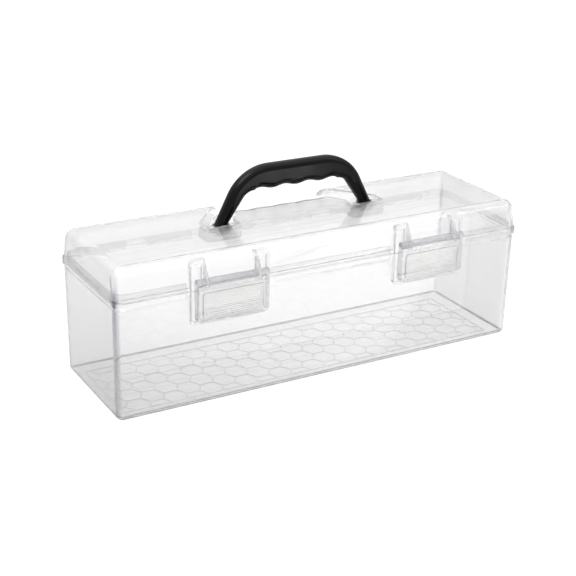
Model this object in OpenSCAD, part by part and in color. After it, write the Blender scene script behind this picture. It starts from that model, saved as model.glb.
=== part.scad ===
// Clear plastic art supply box: a long tub with a hinged lid, two snap latches on the front
// and a folding carry handle set in a recess of the lid.
// Origin: centre of the tub's underside. +X runs along the length, -Y faces the latches,
// +Y faces the hinge, +Z points up. Millimetres.

/* [Tub] */
// Outside length of the tub at its floor
tub_length = 366; // [340:1:390]
// Outside width of the tub at its floor
tub_width = 106.5; // [105:0.5:110]
// Height of the tub up to the top face of its rim band
tub_height = 96.4; // [94:0.1:98]
// Total outward lean of the walls from floor to rim, in length and in width
wall_lean = 1.2; // [0:0.1:3]
// Thickness of the walls
wall = 1.8; // [1.4:0.1:2.2]
// Thickness of the floor
floor_thickness = 2; // [1.6:0.1:3]
// Radius of the bottom edges and of the upright corners
tub_round = 6; // [4:0.5:8]
// How far the rim bands stand out from the walls
rim_out = 1.3; // [1:0.1:2]
// Height of each of the two rim bands
rim_height = 2.7; // [2:0.1:3.5]
// Height of the locating lip above the tub's rim
lip_height = 6; // [4:0.5:8]

/* [Floor pattern] */
// Side of one hexagon cell
hex_side = 10.4; // [8:0.1:14]
// Width of the raised lines
hex_line = 0.9; // [0.6:0.1:1.4]
// Height of the raised lines
hex_height = 0.4; // [0.2:0.1:0.8]
// Length of the patterned field
field_length = 341; // [300:1:344]
// Width of the patterned field
field_width = 80.5; // [60:0.5:84]

/* [Lid] */
// Height of the lid's top face above the ground
lid_top = 122.8; // [122:0.2:125]
// Radius of the lid's upper edges
lid_round = 9; // [8:0.5:13]
// Total inward lean of the lid's walls in length and in width
lid_lean = 0.8; // [0:0.1:2]
// Gap between the two rim bands
rim_gap = 0.3; // [0.2:0.05:0.5]

/* [Handle recess] */
// Depth of the recess below the lid's top face
recess_depth = 11.6; // [11.6:0.1:12.2]
// Half width of the recess across both handle feet
recess_half = 82; // [80:0.5:84]
// Distance of the recess's front wall from the middle of the box
recess_front = -1; // [-2:0.5:0]
// Half width of the island between the handle feet
island_half = 53.5; // [50:0.5:54]
// Distance of the island's wavy rear wall from the middle of the box
island_rear = 27; // [25:0.5:28]
// Depth of the waves for the fingers
wave_depth = 0.9; // [0.4:0.1:1.4]
// Length of one wave
wave_pitch = 22; // [20:0.5:24]

/* [Handle] */
// Distance of the handle's pivot from the middle of the box
pivot_y = 6.5; // [6:0.5:7]
// Height of the grip's top above the ground
grip_top = 166.5; // [164:0.5:168]
// Depth of the grip from its top to its finger side
grip_depth = 20.5; // [18:0.5:22]
// Thickness of the handle from front to back
handle_thick = 11; // [9:0.5:11]
// Half width over the outer faces of the feet
foot_outer = 73.6; // [72:0.1:74]
// Half width between the inner faces of the feet
foot_inner = 61.2; // [60.5:0.1:62]
// Radius of the shoulders' outer curve
shoulder_outer = 40; // [35:1:45]
// Radius of the shoulders' inner curve
shoulder_inner = 12; // [9:1:15]
// Radius of the pivot stubs
stub_r = 2.4; // [2:0.1:2.8]

/* [Latches] */
// Distance of each latch's middle from the middle of the box
latch_x = 90.8; // [80:0.2:100]
// How far the pads behind the latches stand out from the wall
pad_out = 2.6; // [2:0.1:3]
// Half width of the raised pad behind a latch
pad_half = 33.5; // [32.5:0.5:36]
// Height of the pad's lower edge above the ground
pad_low = 68.8; // [66:0.2:70]
// Height of the pad's upper edge above the ground
pad_high = 120.8; // [118:0.2:121]
// Half width of a latch plate
plate_half = 30.6; // [30:0.2:31]
// Height of the latch plate's lower edge above the ground
plate_low = 71.8; // [70:0.2:73]
// Half distance between the cheeks that carry the latch bar
cheek_half = 21; // [20:0.5:22]
// Height of the latch bar above the ground
bar_z = 104.4; // [103.4:0.1:105.4]
// Radius of the latch bar
bar_r = 1.9; // [1.7:0.05:2.1]
// Outer radius of the clip around the latch bar
clip_r = 3; // [2.8:0.1:3.4]
// Bite of the closed latch's lip over the snap bead
snap_bite = 0.4; // [0.3:0.05:0.45]

/* [Hinge] */
// Length of one hinge sleeve
sleeve_length = 39; // [34:0.5:42]
// Distance from one sleeve to the next
sleeve_pitch = 58.2; // [56:0.2:60]
// Number of hinge sleeves
sleeve_count = 6; // [6:1:6]
// Shift of the row of sleeves along the box
sleeve_shift = -3; // [-6:0.5:6]
// Radius of the hinge bar
hinge_bar_r = 1.9; // [1.7:0.05:2.1]
// Outer radius of the sleeves
sleeve_r = 3.2; // [3:0.1:3.4]

/* [Hidden] */
$fn = 48;
e = 0.02;                                        // overlap that lets joined shapes share volume
hull_fn = 32;                                    // segments of the rounded corners in a hull
fit = 0.05;                                      // radial running clearance of bars and stubs
wall_x = (tub_length + wall_lean) / 2;           // half length over the walls at the rim
wall_y = (tub_width + wall_lean) / 2;            // half width over the walls at the rim
rim_x = wall_x + rim_out;
rim_y = wall_y + rim_out;
rim_round = tub_round + rim_out;
pad_y = wall_y + pad_out;                        // depth of the pads' front face
lid_low = tub_height + rim_gap;
lip_wall = 1.2;
lip_gap = 0.4;                                   // between the lip and the lid's walls
lip_top = tub_height + lip_height;
lip_round = 8.5;                                 // larger than the walls' corners, as the lid closes in
lip_root = 6;                                    // depth over which the lip joins the tub's wall
recess_floor = lid_top - recess_depth;
hinge_y = rim_y + sleeve_r + 0.5;
hinge_z = tub_height + rim_gap / 2;
hinge_slot = 2.9;                                // snap mouth of a hinge sleeve
latch_slot = 2.9;                                // snap mouth of a latch clip
bar_y = -pad_y - 4;
cheek_thick = 2.2;
pad_round = 5;
pad_wall = 1.8;
pivot_z = recess_floor + 0.4 + handle_thick / 2;
boss_r = 4.4;
stub_length = 5;
boss_gap = 0.5;                                  // between a foot and its bosses
foot_straight = pivot_z + 6;                     // height up to which the feet are upright

// ---- plain shapes -------------------------------------------------------------------------

// Upright slab with rounded corners, centred on the origin
module round_slab(x, y, r, z0, z1) {
    translate([0, 0, z0]) linear_extrude(z1 - z0) round_rect(x, y, r);
}

// Rectangle with half sizes x and y and round corners
module round_rect(x, y, r) {
    square([2 * (x - r), 2 * y], center = true);
    square([2 * x, 2 * (y - r)], center = true);
    for (i = [-1, 1], j = [-1, 1]) translate([i * (x - r), j * (y - r)]) circle(r);
}

// Block with rounded bottom edges whose walls lean from half sizes (x0, y0) to (x1, y1)
module leaning_cup(x0, y0, x1, y1, z0, z1, r) {
    hull() for (i = [-1, 1], j = [-1, 1]) {
        translate([i * (x0 - r), j * (y0 - r), z0]) round_foot(r);
        translate([i * (x1 - r), j * (y1 - r), z1 - 1]) cylinder(r = r, h = 1, $fn = hull_fn);
    }
}

// Disc of radius r with a rounded lower edge and a small flat underneath
module round_foot(r) {
    edge = r - 1;
    rotate_extrude($fn = hull_fn) polygon(concat([[0, edge], [0, 0]],
        [for (i = [0 : 8]) let (a = 90 * i / 8) [1 + edge * sin(a), edge * (1 - cos(a))]]));
}

// Rod along X between two ends
module rod_x(x0, x1, y, z, r) {
    translate([x0, y, z]) rotate([0, 90, 0]) cylinder(r = r, h = x1 - x0);
}

// ---- tub ----------------------------------------------------------------------------------

module tub() {
    color([0.93, 0.94, 0.95, 0.35]) {
        difference() {
            union() {
                leaning_cup(tub_length / 2, tub_width / 2, wall_x, wall_y, 0, tub_height, tub_round);
                round_slab(rim_x, rim_y, rim_round, tub_height - rim_height, tub_height);
                for (i = [-1, 1]) translate([i * latch_x, 0, 0]) tub_pad();
            }
            tub_inside();
            for (i = [-1, 1]) translate([i * latch_x, 0, 0]) tub_pad_inside();
        }
        floor_pattern();
        tub_lip();
        for (i = [0 : sleeve_count - 1]) hinge_sleeve(sleeve_start(i));
    }
}

module tub_inside() {
    leaning_cup(tub_length / 2 - wall, tub_width / 2 - wall, wall_x - wall, wall_y - wall,
                floor_thickness, tub_height + 1, tub_round - wall);
}

// Raised pad on the front wall that the latch plate lies over, with the snap bead
module tub_pad() {
    pad_block(pad_half, -pad_y, pad_low, tub_height, pad_round);
    bead_z = plate_low + 1.8 + 2.8;
    bead_out = 1.1 + snap_bite;
    translate([-28, -pad_y, bead_z]) rotate([90, 0, 90]) linear_extrude(56)
        polygon([[1, -0.6], [-bead_out, 0.8], [-bead_out, 1.4], [1, 3]]);
}

// Space behind the pad, open at the top for the mould's core
module tub_pad_inside() {
    pad_block(pad_half - pad_wall, -pad_y + pad_wall, pad_low + pad_wall, tub_height + 1,
              pad_round - pad_wall);
}

// Block from y_front back into the wall whose lower corners are rounded
module pad_block(half, y_front, z0, z1, r) {
    translate([0, -wall_y + wall + 0.4, 0]) rotate([90, 0, 0])
        linear_extrude(-wall_y + wall + 0.4 - y_front) {
            translate([-half, z0 + r]) square([2 * half, z1 - z0 - r]);
            translate([r - half, z0]) square([2 * (half - r), z1 - z0]);
            for (i = [-1, 1]) translate([i * (half - r), z0 + r]) circle(r);
        }
}

// Lip inside the rim that locates the lid; it stops short of the pads
module tub_lip() {
    x = wall_x - wall - lip_gap;
    y = wall_y - wall - lip_gap;
    difference() {
        union() {
            round_slab(x, y, lip_round, tub_height - 1, lip_top);
            round_slab(wall_x - wall + 0.3, wall_y - wall + 0.3, tub_round - wall,
                       tub_height - lip_root, tub_height - 0.6);
        }
        round_slab(x - lip_wall, y - lip_wall, lip_round - lip_wall,
                   tub_height - lip_root - 1, lip_top + 1);
        for (i = [-1, 1]) translate([i * latch_x - pad_half - 1, -pad_y, tub_height - lip_root - 1])
            cube([2 * pad_half + 2, 10, lip_height + lip_root + 2]);
    }
}

// Raised honeycomb lines and their border on the floor
module floor_pattern() {
    translate([-3, -2.5, floor_thickness - e]) linear_extrude(hex_height + e) {
        difference() {
            square([field_length, field_width], center = true);
            square([field_length - 2 * hex_line, field_width - 2 * hex_line], center = true);
        }
        intersection() {
            square([field_length, field_width], center = true);
            honeycomb();
        }
    }
}

// Honeycomb lines with two flat sides of each cell along X
module honeycomb() {
    column = 1.5 * hex_side;
    row = sqrt(3) * hex_side;
    cell_r = hex_side - hex_line / sqrt(3);
    columns = ceil(field_length / column / 2);
    rows = ceil(field_width / row / 2);
    difference() {
        square([field_length + 4, field_width + 4], center = true);
        for (i = [-columns : columns], j = [-rows : rows])
            translate([i * column, (j + (i % 2 == 0 ? 0 : 0.5)) * row + 4]) circle(cell_r, $fn = 6);
    }
}

// Left end of hinge sleeve number i
function sleeve_start(i) = sleeve_shift - (sleeve_count - 1) / 2 * sleeve_pitch
                           - sleeve_length / 2 + i * sleeve_pitch;

// C-shaped sleeve that holds the lid's hinge bar
module hinge_sleeve(x) {
    difference() {
        union() {
            rod_x(x, x + sleeve_length, hinge_y, hinge_z, sleeve_r);
            translate([x, rim_y - 1, tub_height - rim_height])
                cube([sleeve_length, hinge_y - rim_y + 1, rim_height]);
        }
        rod_x(x - 1, x + sleeve_length + 1, hinge_y, hinge_z, hinge_bar_r + fit);
        translate([x - 1, hinge_y, hinge_z]) rotate([45, 0, 0]) translate([0, 0, -hinge_slot / 2])
            cube([sleeve_length + 2, sleeve_r + 1, hinge_slot]);
    }
}

// ---- lid ----------------------------------------------------------------------------------

module lid() {
    color([0.93, 0.94, 0.95, 0.35]) {
        difference() {
            union() {
                lid_body(0, lid_low);
                round_slab(rim_x, rim_y, rim_round, lid_low, lid_low + rim_height);
                for (i = [-1, 1]) translate([i * latch_x, 0, 0]) lid_pad();
            }
            difference() {
                lid_body(wall, lid_low - 1);
                translate([0, 0, recess_floor - wall]) linear_extrude(lid_top) recess(wall);
            }
            for (i = [-1, 1]) translate([i * latch_x, 0, 0]) lid_pad_inside();
            translate([0, 0, recess_floor]) linear_extrude(lid_top) recess(0);
        }
        for (i = [-1, 1]) {
            translate([i * latch_x, 0, 0]) latch_bar();
            for (j = [0, 1]) mirror([i > 0 ? 0 : 1, 0, 0]) boss(j);
        }
        hinge_bar();
    }
}

// Outer shape of the lid, made smaller all round by inset
module lid_body(inset, z0) {
    r = lid_round - inset;
    x = wall_x - inset;
    y = wall_y - inset;
    top = lid_top - inset;
    corner = tub_round - inset;
    hull() {
        for (i = [-1, 1], j = [-1, 1]) {
            translate([i * (x - corner), j * (y - corner), z0]) cylinder(r = corner, h = 1, $fn = hull_fn);
            translate([i * (x - lid_lean / 2 - r), j * (y - lid_lean / 2 - r), top])
                mirror([0, 0, 1]) round_foot(r);
        }
    }
}

// Plan of the handle recess, grown by g: two foot pockets joined by a channel behind the island
module recess(g) {
    back = rim_y + 4;
    slope_x = 51 - (back - 50) * 31 / 36;
    difference() {
        polygon([[-recess_half - g, recess_front - g], [recess_half + g, recess_front - g],
                 [recess_half + g, 14 + g / 2], [slope_x + g * 1.3, back],
                 [-slope_x - g * 1.3, back], [-recess_half - g, 14 + g / 2]]);
        island(g);
    }
}

// Plan of the island: straight sides that close in behind the feet and a wavy rear wall
module island(g) {
    half = island_half - g;
    rear_half = 44 - g;
    steps = 48;
    polygon(concat(
        [[-half, recess_front - g - 1], [half, recess_front - g - 1], [half, 12]],
        [for (i = [0 : steps]) let (x = rear_half * (1 - 2 * i / steps))
            [x, island_rear - g + wave_depth * cos(360 * x / wave_pitch)]],
        [[-half, 12]]));
}

// Raised pads on both sides of the cheeks, and the cheeks that carry the bar
module lid_pad() {
    for (i = [-1, 1]) mirror([i > 0 ? 0 : 1, 0, 0]) {
        translate([0, -wall_y + wall + 3, 0]) rotate([90, 0, 0]) linear_extrude(pad_out + wall + 3) {
            translate([cheek_half, lid_low]) square([pad_half - cheek_half, pad_high - pad_round - lid_low]);
            translate([cheek_half, lid_low])
                square([pad_half - cheek_half - pad_round, pad_high - lid_low]);
            translate([pad_half - pad_round, pad_high - pad_round]) circle(pad_round);
        }
        cheek();
    }
}

// Cheek plate: slopes out from the top of the pad and rounds about the bar
module cheek() {
    translate([cheek_half, 0, 0]) rotate([90, 0, 90]) linear_extrude(cheek_thick) {
        translate([bar_y, bar_z]) circle(clip_r);
        polygon([[bar_y - clip_r, bar_z], [bar_y, bar_z - clip_r], [-pad_y + 1, bar_z - clip_r],
                 [-pad_y + 1, pad_high - 3], [-pad_y, pad_high - 3]]);
    }
}

// Space behind the pads, open at the bottom for the mould's core
module lid_pad_inside() {
    half = (pad_half - pad_wall - cheek_half - cheek_thick) / 2;
    middle = cheek_half + cheek_thick + half;
    for (i = [-1, 1]) translate([i * middle - half, -pad_y + pad_wall, lid_low - 1])
        cube([2 * half, pad_out + 1, pad_high - 5 - lid_low]);
}

module latch_bar() {
    rod_x(-cheek_half - 1, cheek_half + 1, bar_y, bar_z, bar_r);
}

// Boss with a blind bore for one of the right foot's stubs: 0 is the outer one, 1 the inner one
module boss(inner) {
    x0 = inner == 1 ? island_half - wall / 2 : foot_outer + boss_gap;
    x1 = inner == 1 ? foot_inner - boss_gap : recess_half + wall / 2;
    bore_x0 = inner == 1 ? foot_inner - boss_gap - stub_length : foot_outer + boss_gap - 1;
    bore_x1 = inner == 1 ? foot_inner : foot_outer + boss_gap + stub_length;
    difference() {
        union() {
            rod_x(x0, x1, pivot_y, pivot_z, boss_r);
            translate([x0, pivot_y - boss_r, recess_floor - wall / 2])
                cube([x1 - x0, 2 * boss_r, pivot_z - recess_floor + wall / 2]);
        }
        rod_x(bore_x0, bore_x1, pivot_y, pivot_z, stub_r + fit);
    }
}

// Hinge bar along the rear edge, held by lugs between and beyond the tub's sleeves
module hinge_bar() {
    lug_gap = 0.5;
    first = sleeve_start(0) - lug_gap;
    last = sleeve_start(sleeve_count - 1) + sleeve_length + lug_gap;
    end_lug = 8;
    rod_x(first - end_lug, last + end_lug, hinge_y, hinge_z, hinge_bar_r);
    hinge_lug(first - end_lug, first);
    hinge_lug(last, last + end_lug);
    for (i = [0 : sleeve_count - 2])
        hinge_lug(sleeve_start(i) + sleeve_length + lug_gap, sleeve_start(i + 1) - lug_gap);
}

module hinge_lug(x0, x1) {
    rod_x(x0, x1, hinge_y, hinge_z, sleeve_r - 0.3);
    translate([x0, rim_y - 1, lid_low]) cube([x1 - x0, hinge_y - rim_y + 1, rim_height]);
}

// ---- handle -------------------------------------------------------------------------------

module handle() {
    color([0.05, 0.05, 0.06]) {
        // Each layer is [half thickness, inset of its outline]
        for (layer = [[handle_thick / 2 - 2, 0], [handle_thick / 2 - 0.9, 0.8], [handle_thick / 2, 2]])
            translate([0, pivot_y + layer[0], 0]) rotate([90, 0, 0])
                linear_extrude(2 * layer[0]) handle_outline(layer[1]);
        for (i = [-1, 1]) mirror([i > 0 ? 0 : 1, 0, 0]) {
            rod_x(foot_inner, foot_outer, pivot_y, pivot_z, handle_thick / 2);
            rod_x(foot_inner - stub_length, foot_outer + stub_length, pivot_y, pivot_z, stub_r);
        }
    }
}

// Front view of the handle above its pivot, made smaller by inset
module handle_outline(inset) {
    outer = shoulder(foot_outer - inset, pivot_z, 26.7, shoulder_outer - inset, grip_top - inset, pivot_z + 2);
    inner = shoulder(foot_inner + inset, pivot_z, 35, shoulder_inner + inset,
                     grip_top - grip_depth + inset, foot_straight);
    finger_half = inner[len(inner) - 1][0];
    steps = 60;
    wave = [for (i = [1 : steps - 1]) let (x = finger_half * (2 * i / steps - 1))
        [x, grip_top - grip_depth + inset + wave_depth * (1 - cos(360 * x / wave_pitch))]];
    polygon(concat(outer, mirrored(backwards(outer)), mirrored(inner), wave, backwards(inner)));
}

// Points up one side: an upright foot, a leg that leans in by angle, and a round shoulder
function shoulder(x, z, angle, r, top, bend_z) =
    let (cz = top - r, leg_z = cz + r * sin(angle), leg_x = x - (leg_z - bend_z) * tan(angle),
         cx = leg_x - r * cos(angle))
    concat([[x, z], [x, bend_z]],
           [for (i = [0 : 12]) let (a = angle + (90 - angle) * i / 12) [cx + r * cos(a), cz + r * sin(a)]]);

function backwards(points) = [for (i = [len(points) - 1 : -1 : 0]) points[i]];

function mirrored(points) = [for (p = points) [-p[0], p[1]]];

// ---- latches ------------------------------------------------------------------------------

module latch_left() {
    color([0.95, 0.96, 0.97, 0.45]) translate([-latch_x, 0, 0]) latch();
}

module latch_right() {
    color([0.95, 0.96, 0.97, 0.45]) translate([latch_x, 0, 0]) latch();
}

// Tray-shaped plate with a clip along its top, in its closed place on the lid's bar
module latch() {
    plate_wall = 1.8;
    front = bar_y - clip_r + 0.5;
    back = -pad_y - 1.1;
    ear = cheek_half + cheek_thick + 0.6;
    difference() {
        union() {
            difference() {
                latch_block(0, front, back);
                latch_block(plate_wall, front + plate_wall, back + 1);
            }
            rod_x(-plate_half, plate_half, bar_y, bar_z, clip_r);
            translate([-plate_half, front, bar_z - clip_r - 2]) cube([2 * plate_half, 1.8, clip_r + 2]);
        }
        rod_x(-plate_half - 1, plate_half + 1, bar_y, bar_z, bar_r + fit);
        translate([-ear, bar_y, bar_z - latch_slot / 2]) cube([2 * ear, clip_r + 3, latch_slot]);
        for (i = [-1, 1]) translate([i * (ear + cheek_half - 0.5) / 2, bar_y, bar_z])
            cube([ear - cheek_half + 0.5, 4 * clip_r, 2 * clip_r + 1.6], center = true);
    }
    for (i = [-1, 1]) rod_x(min(i * ear, i * plate_half), max(i * ear, i * plate_half),
                            bar_y, bar_z, bar_r + 2 * fit);
    grip_frame(front);
}

// Solid block of the plate's outline with rounded lower corners, made smaller by inset
module latch_block(inset, y0, y1) {
    half = plate_half - inset;
    low = plate_low + inset;
    r = pad_round - inset;
    translate([0, y1, 0]) rotate([90, 0, 0]) linear_extrude(y1 - y0) {
        translate([-half, low + r]) square([2 * half, bar_z - low - r]);
        translate([r - half, low]) square([2 * (half - r), bar_z - low]);
        for (i = [-1, 1]) translate([i * (half - r), low + r]) circle(r);
    }
}

// Raised frame around the thumb panel, and the panel's fine ribs
module grip_frame(front) {
    half = 26.3;
    low = plate_low + 3.6;
    high = bar_z - clip_r - 4.6;
    frame_wall = 1.6;
    frame_out = 0.8;
    rib_pitch = 1.5;
    rib_out = 0.4;
    middle = (low + high) / 2;
    translate([0, front + e, middle]) rotate([90, 0, 0]) linear_extrude(frame_out + e) difference() {
        round_rect(half, (high - low) / 2, 3);
        round_rect(half - frame_wall, (high - low) / 2 - frame_wall, 3 - frame_wall);
    }
    for (z = [low + frame_wall + 1 : rib_pitch : high - frame_wall - 1])
        translate([-half + frame_wall - e, front - rib_out, z])
            cube([2 * (half - frame_wall + e), rib_out + e, rib_pitch / 2]);
}

tub();
lid();
handle();
latch_left();
latch_right();
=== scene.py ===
import math

import bpy
from mathutils import Matrix, Vector


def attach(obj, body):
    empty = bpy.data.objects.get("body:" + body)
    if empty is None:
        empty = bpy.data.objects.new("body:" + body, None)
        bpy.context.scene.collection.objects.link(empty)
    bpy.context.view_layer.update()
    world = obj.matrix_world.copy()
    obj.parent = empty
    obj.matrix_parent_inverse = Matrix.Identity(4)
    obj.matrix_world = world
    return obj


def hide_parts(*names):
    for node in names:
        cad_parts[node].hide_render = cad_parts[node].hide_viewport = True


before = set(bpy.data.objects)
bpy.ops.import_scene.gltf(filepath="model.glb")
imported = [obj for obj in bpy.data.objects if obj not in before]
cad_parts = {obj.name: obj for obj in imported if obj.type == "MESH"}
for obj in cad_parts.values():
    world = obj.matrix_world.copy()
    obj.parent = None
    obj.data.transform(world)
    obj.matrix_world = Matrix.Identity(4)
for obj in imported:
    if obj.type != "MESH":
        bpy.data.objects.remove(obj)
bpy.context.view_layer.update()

MM = 0.001
CORNER_STEPS = 8

# Main dimensions of the box in millimetres, the same as in the CAD
TUB_X, TUB_Y = 183.0, 53.25          # half length and half width at the floor
LEAN = 0.6                           # how far each wall leans out up to the rim
RIM_Z = 96.4
WALL = 1.8
FLOOR_TOP = 2.0                      # thickness of the tub's floor
ROUND = 6.0
WALL_X, WALL_Y = TUB_X + LEAN, TUB_Y + LEAN
RIM_OUT, RIM_HIGH = 1.3, 2.7
LIP_OUT = -2.2                       # the lip's outer face, measured from the wall's outer face
LIP_THICK = 1.2
LIP_TOP = 102.4
LIP_ROUND = 8.5
LID_LOW = 96.7
LID_TOP = 122.8
LID_ROUND = 9.0
LID_LEAN = 0.4
CLEARANCE = 0.05                     # between a bar or stub and what turns on it

# The floor's pattern: hexagonal cells between raised lines
HEX_SIDE, HEX_LINE, HEX_HIGH = 10.4, 0.9, 0.4
HEX_COLUMN, HEX_ROW = 1.5 * HEX_SIDE, math.sqrt(3) * HEX_SIDE
HEX_COLUMNS, HEX_ROWS = 12, 4        # on each side of the middle
HEX_SHIFT = 4.0                      # of the rows, towards the rear
FIELD_X, FIELD_Y, FIELD_CX, FIELD_CY = 341.0, 80.5, -3.0, -2.5
GATE_COLUMN, GATE_Y = 5, 13.0        # the gate marks' places, from the field's middle

# Pads, cheeks, bars and latches
PAD_Y = 56.45
PAD_HALF = 33.5
PAD_LOW = 68.8
PAD_HIGH = 120.8
PAD_ROUND, SQUARE = 5.0, 0.3         # corner radii
PAD_EDGE = 0.9
PAD_INSIDE = 52.0                    # about the tub wall's inner face behind the pads
BEAD_HALF = 28.0
LATCH_X = 90.8
CHEEK_HALF = 21.0
CHEEK_THICK = 2.2
BAR_Y, BAR_Z, BAR_R = -60.45, 104.4, 1.9
CLIP_R = 3.0
CLIP_HALF = CHEEK_HALF + CHEEK_THICK + 0.6
CLIP_MOUTH = 2.9
PLATE_HALF = 30.6
PLATE_LOW, PLATE_HIGH = 71.8, BAR_Z - 0.5
PLATE_FRONT, PLATE_BACK = BAR_Y - CLIP_R + 0.5, -PAD_Y - 1.1
PANEL_HALF, PANEL_LOW, PANEL_HIGH = 26.3, PLATE_LOW + 3.6, BAR_Z - CLIP_R - 4.6
PANEL_ROUND = 3.0
FRAME_WALL, FRAME_OUT = 1.6, 0.8
GROOVE_WIDE, GROOVE_DEEP, GROOVE_ROUND = 0.9, 0.6, 3.6
RIB_PITCH, RIB_OUT, RIB_MARGIN = 1.5, 0.4, 2.6

# Hinge
HINGE_Y, HINGE_Z = 58.85, 96.55
HINGE_BAR_R, SLEEVE_R = 1.9, 3.2
SLEEVE_LONG, SLEEVE_PITCH, SLEEVE_COUNT, SLEEVE_SHIFT = 39.0, 58.2, 6, -3.0
SLEEVE_MOUTH = 2.9

# Recess of the lid, in plan, and the handle
RECESS_FLOOR = 111.2
RECESS_HALF, RECESS_FRONT = 82.0, -1.0
RECESS_SIDE, RECESS_BACK = 14.0, 62.0    # where the slopes start and where they end
SLOPE_X, SLOPE_Y = 51.0, 50.0            # a point that each slope passes
ISLAND_HALF, ISLAND_SIDE, ISLAND_REAR = 53.5, 12.0, 27.0
WAVE, WAVE_PITCH = 0.9, 22.0
PIVOT_Y, PIVOT_Z = 6.5, 117.1
GRIP_TOP, GRIP_DEPTH = 166.5, 20.5
HANDLE_HALF = 5.5
FOOT_OUTER, FOOT_INNER = 73.6, 61.2
OUTER_ANGLE, OUTER_ROUND, OUTER_BEND = 26.7, 40.0, 2.0   # the bow's outer side: lean, shoulder, bend
INNER_ANGLE, INNER_ROUND, INNER_BEND = 35.0, 12.0, 6.0
CROWN_HIGH, CROWN_REACH, CROWN_STEPS = 4.6, 5.6, 12      # how the bow's section rounds to its sides
BOSS_R, STUB_R, STUB_LONG = 4.4, 2.4, 5.0


# ---- mesh helpers, all in millimetres ------------------------------------------------------------

def mesh_object(name, points, faces):
    mesh = bpy.data.meshes.new(name)
    mesh.from_pydata([Vector(p) * MM for p in points], [], faces)
    piece = bpy.data.objects.new(name, mesh)
    bpy.context.scene.collection.objects.link(piece)
    return piece


def loft(name, rings):
    """A closed skin over loops of equally many points, each loop turning left about the way they go."""
    n = len(rings[0])
    faces = [tuple(reversed(range(n)))]
    for k in range(len(rings) - 1):
        a, b = k * n, (k + 1) * n
        faces += [(a + i, a + (i + 1) % n, b + (i + 1) % n, b + i) for i in range(n)]
    faces.append(tuple(range((len(rings) - 1) * n, len(rings) * n)))
    return mesh_object(name, [p for r in rings for p in r], faces)


def outline(x0, x1, z0, z1, radii, steps=CORNER_STEPS):
    """Rectangle with four rounded corners, from the upper right one on, turning left."""
    found = []
    corners = ((x1, z1, -1, -1, 0), (x0, z1, 1, -1, 90), (x0, z0, 1, 1, 180), (x1, z0, -1, 1, 270))
    for (x, z, sx, sz, start), r in zip(corners, radii):
        for i in range(steps + 1):
            a = math.radians(start + 90 * i / steps)
            found.append((x + sx * r + r * math.cos(a), z + sz * r + r * math.sin(a)))
    return found


def flat_ring(hx, hy, r, z):
    return [(x, y, z) for x, y in outline(-hx, hx, -hy, hy, [r] * 4)]


def join(target, other, operation):
    """Adds other to target or cuts it away, and removes other."""
    m = target.modifiers.new("join", "BOOLEAN")
    m.operation = operation
    m.solver = "MANIFOLD"
    m.object = other
    graph = bpy.context.evaluated_depsgraph_get()
    result = bpy.data.meshes.new_from_object(target.evaluated_get(graph))
    target.modifiers.clear()
    old = target.data
    target.data = result
    bpy.data.meshes.remove(old)
    bpy.data.objects.remove(other)
    return target


def add(target, *others):
    for other in others:
        join(target, other, "UNION")


def cut(target, *others):
    for other in others:
        join(target, other, "DIFFERENCE")


def block(x0, x1, y0, y1, z0, z1):
    return loft("block", [[(x0, y0, z), (x1, y0, z), (x1, y1, z), (x0, y1, z)] for z in (z0, z1)])


def rod(x0, x1, y, z, r, edge=0.3, steps=32):
    """A round rod along X with slightly rounded ends."""
    stations = [(x0, r - edge), (x0 + edge * 0.3, r - edge * 0.3), (x0 + edge, r),
                (x1 - edge, r), (x1 - edge * 0.3, r - edge * 0.3), (x1, r - edge)]
    return loft("rod", [[(x, y + s * math.cos(math.tau * i / steps), z + s * math.sin(math.tau * i / steps))
                         for i in range(steps)] for x, s in stations])


def prism_x(x0, x1, points):
    """A prism along X over (y, z) points that turn left seen from +X."""
    return loft("prism", [[(x, y, z) for y, z in points] for x in (x0, x1)])


def plate(x0, x1, z0, z1, radii, back, front, edge):
    """A plate facing -Y with rounded corners and a rounded front edge."""
    rings = [[(x, back, z) for x, z in outline(x0, x1, z0, z1, radii)]]
    for i in range(5):
        a = math.radians(90 * i / 4)
        s = edge * (1 - math.cos(a))
        rings.append([(x, front + edge * (1 - math.sin(a)), z) for x, z in
                      outline(x0 + s, x1 - s, z0 + s, z1 - s, [max(r - s, 0.12) for r in radii])])
    return loft("plate", rings)


def finish_mesh(piece, body, material, angle=31.0):
    """Shades smoothly, keeps corners sharper than angle, and hands the piece to its body."""
    piece.data.materials.clear()
    piece.data.materials.append(material)
    piece.data.shade_smooth()
    piece.data.set_sharp_from_angle(angle=math.radians(angle))
    m = piece.modifiers.new("normals", "WEIGHTED_NORMAL")
    m.keep_sharp = True
    m.mode = "FACE_AREA_WITH_ANGLE"
    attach(piece, body)
    return piece


def shade_narrow_sides(piece, material):
    """Gives the narrow sides of the latch pads and cheeks, and the pads' undersides, a painted shade."""
    piece.data.materials.append(material)
    for face in piece.data.polygons:
        across = abs(abs(face.center.x / MM) - LATCH_X)
        out, up = -face.center.y / MM, face.center.z / MM
        on_pad = out > WALL_Y + 0.2
        pad_side = PAD_HALF - 1 < across < PAD_HALF + 0.3 and on_pad
        pad_foot = across < PAD_HALF and PAD_LOW - 0.2 < up < PAD_LOW + 1 and on_pad
        off_cheek = abs(across - CHEEK_HALF - CHEEK_THICK / 2)
        cheek_side = off_cheek < CHEEK_THICK / 2 + 0.1 and out > PAD_Y - 1
        if pad_side or pad_foot or cheek_side:
            face.material_index = 1


# ---- tub -------------------------------------------------------------------------------------------

def tub_ring(out, r, z):
    lean = LEAN * z / RIM_Z
    return flat_ring(TUB_X + lean + out, TUB_Y + lean + out, r, z)


def rim_ring(out, r, z):
    return flat_ring(WALL_X + out, WALL_Y + out, r, z)


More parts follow.
